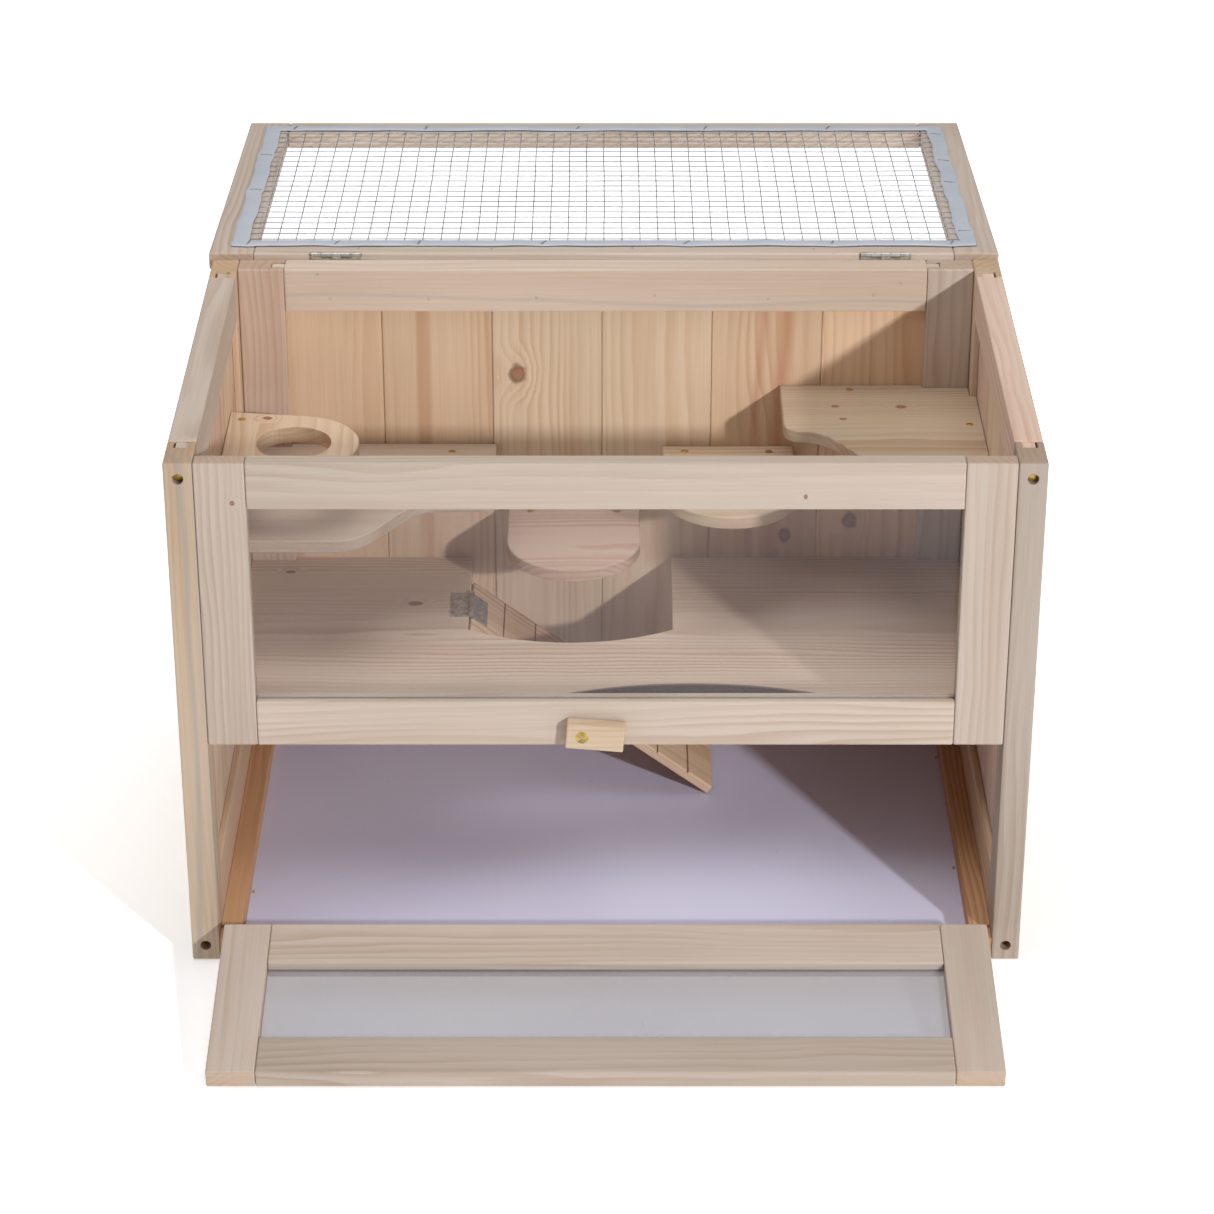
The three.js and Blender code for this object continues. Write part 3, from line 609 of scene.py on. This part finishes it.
def edgingMaterial():
    # soft white PVC tape: matt, cool white, with shallow creases across it
    material = newMaterial("soft white PVC tape")
    tree = material.node_tree
    place = addNode(tree, "TexCoord", out="Object")
    cloud = addNode(tree, "TexNoise", {"Vector": place, "Scale": 40.0, "Detail": 3.0})
    share = addNode(tree, "MapRange", {0: cloud, 1: 0.3, 2: 0.7})
    colour = addNode(tree, "Mix", {0: share, 6: linear(tapeLook["pale"]), 7: linear(tapeLook["dull"])},
                     out=2, data_type="RGBA")
    roughness = addNode(tree, "MapRange", {0: cloud, 1: 0.3, 2: 0.7, 3: 0.42, 4: 0.55})
    creasePlace = addNode(tree, "VectorMath", {0: place, 1: (260, 120, 120)}, operation="MULTIPLY")
    crease = addNode(tree, "TexNoise", {"Vector": creasePlace, "Scale": 1.0, "Detail": 3.0})
    bump = addNode(tree, "Bump", {"Strength": 0.4, "Distance": tapeLook["crease"], "Height": crease})
    surface = addNode(tree, "BsdfPrincipled", {"Base Color": colour, "Roughness": roughness, "Normal": bump})
    addNode(tree, "OutputMaterial", {"Surface": surface})
    return material


zincSteel = metalMaterial("zinc plated steel")
yellowZinc = metalMaterial("yellow zinc plated steel")
galvanised = metalMaterial("galvanised wire")
nailHole = metalMaterial("nail in its hole")
whiteTape = edgingMaterial()

for name, look in acrylics.items():
    dress(name, acrylicMaterial(name, look))
dress("floor_board", whiteBoardMaterial())
for name in nodes:
    if "hinge" in name:
        dress(name, zincSteel)
print("other finishes placed")

# the lid's own frame while it is open: X across, Y away from the hinges, Z up from the wire
lidPlace = Matrix.Translation(boxCentre("lid_wire_mesh")) @ Matrix.Rotation(-lidTilt, 4, "X")
wireLow, wireHigh = boxSides("lid_wire_mesh")
wireNet = {
    "width": wireHigh.x - wireLow.x,
    "depth": (wireHigh.y - wireLow.y) / math.cos(lidTilt),
    "pitch": 14.0 * mm,
    "radius": 0.42 * mm,
    "sides": 6,
    "drop": 0.2 * mm,
    # the two layers of wire are welded, so each lies this share of a radius from the middle
    "layer": 0.9,
    # each bend pushes the wires along one axis: (axis, size of its waves, how far)
    "bends": (("X", 0.16, 1.6 * mm), ("Y", 0.13, 1.6 * mm), ("Z", 0.2, 0.6 * mm),
              ("X", 0.05, 0.8 * mm), ("Y", 0.06, 0.8 * mm)),
}


def makeWire(length, steps):
    # one straight wire along X, cut into short lengths so that it can bend
    deselect()
    bpy.ops.mesh.primitive_cylinder_add(
        vertices=wireNet["sides"], radius=wireNet["radius"], depth=length, rotation=(0, math.pi / 2, 0))
    wire = bpy.context.object
    applyPlace(wire)
    bpy.ops.object.mode_set(mode="EDIT")
    bpy.ops.mesh.select_mode(type="EDGE")
    bpy.ops.mesh.select_all(action="DESELECT")
    bpy.ops.object.mode_set(mode="OBJECT")
    points = wire.data.vertices
    for edge in wire.data.edges:
        ends = [points[i].co.x for i in edge.vertices]
        edge.select = abs(ends[0] - ends[1]) > length / 2
    bpy.ops.object.mode_set(mode="EDIT")
    bpy.ops.mesh.subdivide(number_cuts=steps - 1)
    bpy.ops.object.mode_set(mode="OBJECT")
    return wire


def makeWireNet():
    pitch = wireNet["pitch"]
    rows = int(wireNet["depth"] / pitch) + 1
    columns = int(wireNet["width"] / pitch) + 1
    layer = wireNet["radius"] * wireNet["layer"]
    rowWire = makeWire(wireNet["width"], columns)
    columnWire = makeWire(wireNet["depth"], rows)
    columnWire.rotation_euler = (0, 0, math.pi / 2)
    applyPlace(columnWire)
    pieces = []
    for i in range(rows):
        y = (i - (rows - 1) / 2) * pitch
        pieces.append(copyTo(rowWire, "row", Matrix.Translation((0, y, layer))))
    for i in range(columns):
        x = (i - (columns - 1) / 2) * pitch
        pieces.append(copyTo(columnWire, "column", Matrix.Translation((x, 0, -layer))))
    remove(rowWire)
    remove(columnWire)
    net = joinAs(pieces, "wire_net")
    for direction, size, strength in wireNet["bends"]:
        bend = bpy.data.textures.new("bend " + direction, "CLOUDS")
        bend.noise_scale = size
        bend.noise_depth = 1
        applyModifier(net, "DISPLACE", texture=bend, direction=direction, strength=strength, mid_level=0.5)
    applyPlace(net, lidPlace @ Matrix.Translation((0, 0, -wireNet["drop"])))
    finishPiece(net, galvanised, "lid", 60)
    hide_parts("lid_wire_mesh")
    return net


makeWireNet()
print("wire net made")

# strips of tape cover the cut wires; each is held down by staples and lifts between them
edging = {
    "width": 13.0 * mm,
    "thickness": 0.5 * mm,
    "rest": 0.9 * mm,
    "lift": 0.75 * mm,
    "pinch": 16.0 * mm,
    "margin": 15.5 * mm,
    "overlap": 18.0 * mm,
    # across its width the tape arches, and beside a staple it lies flat and spreads
    "arch": 0.55,
    "bed": 0.15,
    "spread": 0.16,
    "spreadReach": 5.0 * mm,
    # its edges waver along its length: (how far, how quickly)
    "longWave": (0.6 * mm, 71),
    "shortWave": (0.3 * mm, 163),
    "staple": (1.2 * mm, 9.5 * mm, 0.55 * mm),
    "stapleSkew": (-28, -8),
    "strips": {
        "front": {"turn": 0, "staples": (-273, -205, -142, -46, 64, 176, 268)},
        "back": {"turn": 180, "staples": (262, 151, 22, -86, -190)},
        "left": {"turn": -90, "staples": (-78, 20)},
        "right": {"turn": 90, "staples": (140, 62, 0, -130)},
    },
}


def nearestStaple(x, staples):
    return min(abs(x - staple * mm) for staple in staples)


def tapeHeight(x, staples):
    near = nearestStaple(x, staples)
    swell = 0.75 + 0.25 * math.sin(x * 43 + staples[0])
    return edging["rest"] + edging["lift"] * swell * (1 - math.exp(-(near / edging["pinch"]) ** 2))


def makeStrip(name, strip, length, away):
    deselect()
    bpy.ops.mesh.primitive_grid_add(x_subdivisions=int(length / (4 * mm)), y_subdivisions=6, size=1)
    tape = bpy.context.object
    tape.scale = (length, edging["width"], 1)
    applyPlace(tape)
    half = edging["width"] / 2
    bed = edging["rest"] * edging["bed"]
    longWave, longRate = edging["longWave"]
    shortWave, shortRate = edging["shortWave"]
    for point in tape.data.vertices:
        x, y = point.co.xy
        height = tapeHeight(x, strip["staples"])
        near = nearestStaple(x, strip["staples"])
        arch = 1 - edging["arch"] * (y / half) ** 2
        wave = longWave * math.sin(x * longRate + length * 9) + shortWave * math.sin(x * shortRate)
        spread = 1 + edging["spread"] * math.exp(-(near / edging["spreadReach"]) ** 2)
        point.co = (x, y * spread + wave, bed + height * arch)
    applyModifier(tape, "SOLIDIFY", thickness=edging["thickness"], offset=0)
    applyModifier(tape, "SUBSURF", levels=1, render_levels=1)
    turn = Matrix.Rotation(math.radians(strip["turn"]), 4, "Z")
    applyPlace(tape, lidPlace @ turn @ Matrix.Translation((0, -away, 0)))
    tape.name = "edging_" + name
    return tape, turn


def makeStaple():
    deselect()
    bpy.ops.mesh.primitive_cube_add(size=1, location=(0, 0, 0))
    staple = bpy.context.object
    staple.scale = edging["staple"]
    applyPlace(staple)
    selectFaces(staple, lambda face: abs(face.normal.y) > 0.9)
    bpy.ops.mesh.bevel(offset=0.3 * mm, segments=2)
    bpy.ops.object.mode_set(mode="OBJECT")
    return staple


def makeEdging():
    halfLid = Vector((wireNet["width"] / 2 + edging["overlap"], wireNet["depth"] / 2 + edging["overlap"]))
    bed = edging["rest"] * edging["bed"]
    staple = makeStaple()
    strips = []
    staples = []
    for name, strip in edging["strips"].items():
        sideways = name in ("left", "right")
        reach = halfLid.x if sideways else halfLid.y
        length = 2 * ((halfLid.y if sideways else halfLid.x) - edging["margin"])
        if sideways:
            length -= 1.2 * edging["width"]
        away = reach - edging["margin"] - edging["width"] / 2
        tape, turn = makeStrip(name, strip, length, away)
        strips.append(tape)
        for x in strip["staples"]:
            height = tapeHeight(x * mm, strip["staples"]) + bed + edging["thickness"] / 2
            skew = Matrix.Rotation(math.radians(draw.uniform(*edging["stapleSkew"])), 4, "Z")
            lie = turn @ Matrix.Translation((x * mm, -away, height + 0.1 * mm)) @ skew
            staples.append(copyTo(staple, "staple", lidPlace @ lie))
    remove(staple)
    tapes = joinAs(strips, "edging_tape")
    finishPiece(tapes, whiteTape, "lid", 50)
    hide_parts("lid_edging")
    finishPiece(joinAs(staples, "edging_staples"), zincSteel, "lid", 40)


makeEdging()
print("edging and staples made")

screw = {
    "radius": 3.2 * mm,
    "depth": 2.4 * mm,
    "rise": 0.9 * mm,
    # the dome rises in steps, each this share of the radius inside the last
    "steps": (0.18, 0.24, 0.3),
    "crossLength": 3.6 * mm,
    "crossWidth": 0.8 * mm,
    "crossDepth": 1.3 * mm,
}


def makeScrewHead():
    # a cross-head screw seen from above: a low dome with a cross cut into it, its rim at Z = 0
    deselect()
    bpy.ops.mesh.primitive_cylinder_add(
        vertices=28, radius=screw["radius"], depth=screw["depth"], location=(0, 0, -screw["depth"] / 2))
    head = bpy.context.object
    applyPlace(head)
    selectFaces(head, lambda face: face.normal.z > 0.9)
    for share in screw["steps"]:
        bpy.ops.mesh.inset(thickness=screw["radius"] * share)
        bpy.ops.transform.translate(value=(0, 0, screw["rise"] * share * 0.9))
    bpy.ops.object.mode_set(mode="OBJECT")
    for quarter in (0, 1):
        bpy.ops.mesh.primitive_cube_add(size=1, location=(0, 0, screw["rise"] * 0.65))
        cutter = bpy.context.object
        cutter.scale = (screw["crossLength"], screw["crossWidth"], screw["crossDepth"])
        cutter.rotation_euler = (0, 0, quarter * math.pi / 2)
        applyPlace(cutter)
        applyModifier(head, "BOOLEAN", operation="DIFFERENCE", object=cutter, solver="EXACT")
        remove(cutter)
    return head


def lookAlong(point, direction, spin=0.0):
    # a place with its Z turned to direction
    turn = Vector(direction).to_track_quat("Z", "X").to_matrix().to_4x4()
    return Matrix.Translation(Vector(point) * mm) @ turn @ Matrix.Rotation(spin, 4, "Z")


def driveScrew(name, point, direction, spin, size):
    return copyTo(screwHead, name, lookAlong(point, direction, spin) @ Matrix.Scale(size, 4))


screwHead = makeScrewHead()
up = (0, 0, 1)
outFront = (0, -1, 0)
screws = {
    # name: (finish, body, slot, size against the model, [(place, direction), ...])
    "shelf_screws": (yellowZinc, "cage", "zinc_steel", 0.95, [
        ((-119, 151, 251), up), ((-58.7, 151, 200), up), ((8.7, 151, 200), up), ((61.4, 156, 249), up),
        ((126.5, 155, 249), up), ((188, 157, 301), up), ((275, 93, 301), up), ((-275, 98, 303), up)]),
    "post_screws": (yellowZinc, "cage", "zinc_steel", 1.05, [
        ((side * 290, -181 + depth, z), outFront) for side in (-1, 1) for z, depth in ((12, 8), (387, 4.5))]),
}


def placeScrews():
    for name, (finish, body, slotName, size, places) in screws.items():
        heads = [driveScrew("screw", point, direction, draw.uniform(0, math.pi), size)
                 for point, direction in places]
        finishPiece(joinAs(heads, name), finish, body, 35)


placeScrews()


latchScrew = {"spin": 0.75, "size": 1.45}


def placeLatchScrew():
    face = boxSides("latch")[0].y
    pivot = joints["latch_turn"]["pos_m"]
    point = Vector((pivot[0], face, pivot[2])) / mm
    head = driveScrew("latch_screw", point, outFront, latchScrew["spin"], latchScrew["size"])
    finishPiece(head, yellowZinc, "latch", 35)


placeLatchScrew()

# two screws in each leaf, this far from its middle and this far into it; size is against the model
hingeScrews = {
    "across": 11.5 * mm,
    "sunk": 0.45 * mm,
    "size": 0.85,
    "sizeOnLid": 0.7,
    "fromPinOnPlatform": 9.0 * mm,
    "fromPinOnRamp": 8.5 * mm,
    "fromPinOnFloor": 8.5 * mm,
    "fromPinOnLid": 7.0 * mm,
}


def hingeSides(name):
    # where the screws of a pair of hinges stand across the cage
    for hinge in ("left", "right"):
        middle = boxCentre(name + "_" + hinge + "_base").x
        for side in (-1, 1):
            yield side, middle + side * hingeScrews["across"]


def placeHingeScrews():
    # on the side of each leaf that faces away from the wood
    leafFace = -hingeScrews["sunk"]
    size = hingeScrews["size"]
    fixed = []
    moving = []
    rampPin = Vector(joints["ramp_hinge"]["pos_m"])
    alongRamp = Vector((math.cos(rampSlope), 0, -math.sin(rampSlope)))
    offRamp = Vector((math.sin(rampSlope), 0, math.cos(rampSlope)))
    for side in (-1, 1):
        across = Vector((0, side * hingeScrews["across"], 0))
        onPlatform = rampPin + across + Vector((-hingeScrews["fromPinOnPlatform"], 0, leafFace))
        onRamp = rampPin + alongRamp * hingeScrews["fromPinOnRamp"] + across + offRamp * leafFace
        fixed.append(driveScrew("screw", onPlatform / mm, up, side, size))
        moving.append(driveScrew("screw", onRamp / mm, offRamp, side, size))
    lidPin = Vector(joints["lid_hinge"]["pos_m"])
    lidTurn = Matrix.Rotation(-openAngle["lid_hinge"], 3, "X")
    backward = Vector((0, 1, 0))
    lidMoving = []
    lidFixed = []
    for side, x in hingeSides("lid_hinge"):
        below = Vector((x, lidPin.y + leafFace, lidPin.z - hingeScrews["fromPinOnLid"]))
        onLid = Vector((x, lidPin.y, lidPin.z)) + lidTurn @ Vector((0, leafFace, hingeScrews["fromPinOnLid"]))
        lidFixed.append(driveScrew("screw", below / mm, backward, side, hingeScrews["sizeOnLid"]))
        lidMoving.append(driveScrew("screw", onLid / mm, lidTurn @ backward, side, hingeScrews["sizeOnLid"]))
    doorPin = Vector(joints["door_hinge"]["pos_m"])
    for side, x in hingeSides("door_hinge"):
        seat = Vector((x, doorPin.y + hingeScrews["fromPinOnFloor"], doorPin.z + leafFace))
        fixed.append(driveScrew("screw", seat / mm, up, side, size))
    finishPiece(joinAs(fixed + lidFixed, "hinge_screws_cage"), zincSteel, "cage", 35)
    finishPiece(joinAs(moving, "hinge_screws_ramp"), zincSteel, "ramp", 35)
    finishPiece(joinAs(lidMoving, "hinge_screws_lid"), zincSteel, "lid", 35)


placeHingeScrews()
remove(screwHead)
print("screws placed")


nail = {"radius": 1.0 * mm, "length": 1.2 * mm, "sunk": 0.45 * mm, "rim": 0.25 * mm, "dish": 0.35 * mm}


def makeNail():
    # a brad driven just below the surface: a small dark dish
    deselect()
    bpy.ops.mesh.primitive_cylinder_add(
        vertices=12, radius=nail["radius"], depth=nail["length"], location=(0, 0, -nail["sunk"]))
    head = bpy.context.object
    applyPlace(head)
    selectFaces(head, lambda face: face.normal.z > 0.9)
    bpy.ops.mesh.inset(thickness=nail["rim"])
    bpy.ops.transform.translate(value=(0, 0, -nail["dish"]))
    bpy.ops.object.mode_set(mode="OBJECT")
    return head


nailHead = makeNail()
# where the nails go, in mm: across the cage and up, or across the lid and away from its hinges
backRailNails = [(-210, 375), (-135, 375), (-53, 376), (37, 378), (124, 375), (204, 378),
                 (-219, 395), (224, 388)]
lidRailNails = [(-188, -168), (-86, -170), (22, -168), (161, -171)]
backRailFront = 161
lidRailTop = -0.4


def placeNails():
    backNails = [copyTo(nailHead, "nail", lookAlong((x, backRailFront, z), outFront))
                 for x, z in backRailNails]
    finishPiece(joinAs(backNails, "back_rail_nails"), nailHole, "cage")
    lidNails = [copyTo(nailHead, "nail", lidPlace @ lookAlong((x, y, lidRailTop), up))
                for x, y in lidRailNails]
    finishPiece(joinAs(lidNails, "lid_rail_nails"), nailHole, "lid")


screwTips = {
    "places": ((-262.5, -98), (262.5, -64), (262.5, 102)),
    "radius": 1.3 * mm,
    "point": 0.15 * mm,
    "length": 3.0 * mm,
    "rise": 1.1,
    "lean": 25,
}


def placeScrewTips():
    # the points of the screws that hold the battens come up through the white board
    floorLevel = boxSides("floor_board")[1].z / mm
    tips = []
    for x, y in screwTips["places"]:
        deselect()
        bpy.ops.mesh.primitive_cone_add(
            vertices=10, radius1=screwTips["radius"], radius2=screwTips["point"], depth=screwTips["length"])
        tip = bpy.context.object
        lean = math.radians(draw.uniform(-screwTips["lean"], screwTips["lean"]))
        place = Vector((x, y, floorLevel + screwTips["rise"])) * mm
        applyPlace(tip, Matrix.Translation(place) @ Matrix.Rotation(lean, 4, "Y"))
        tips.append(tip)
    finishPiece(joinAs(tips, "floor_screw_tips"), yellowZinc, "cage", 50)


placeNails()
placeScrewTips()
remove(nailHead)
print("nails and screw tips placed")
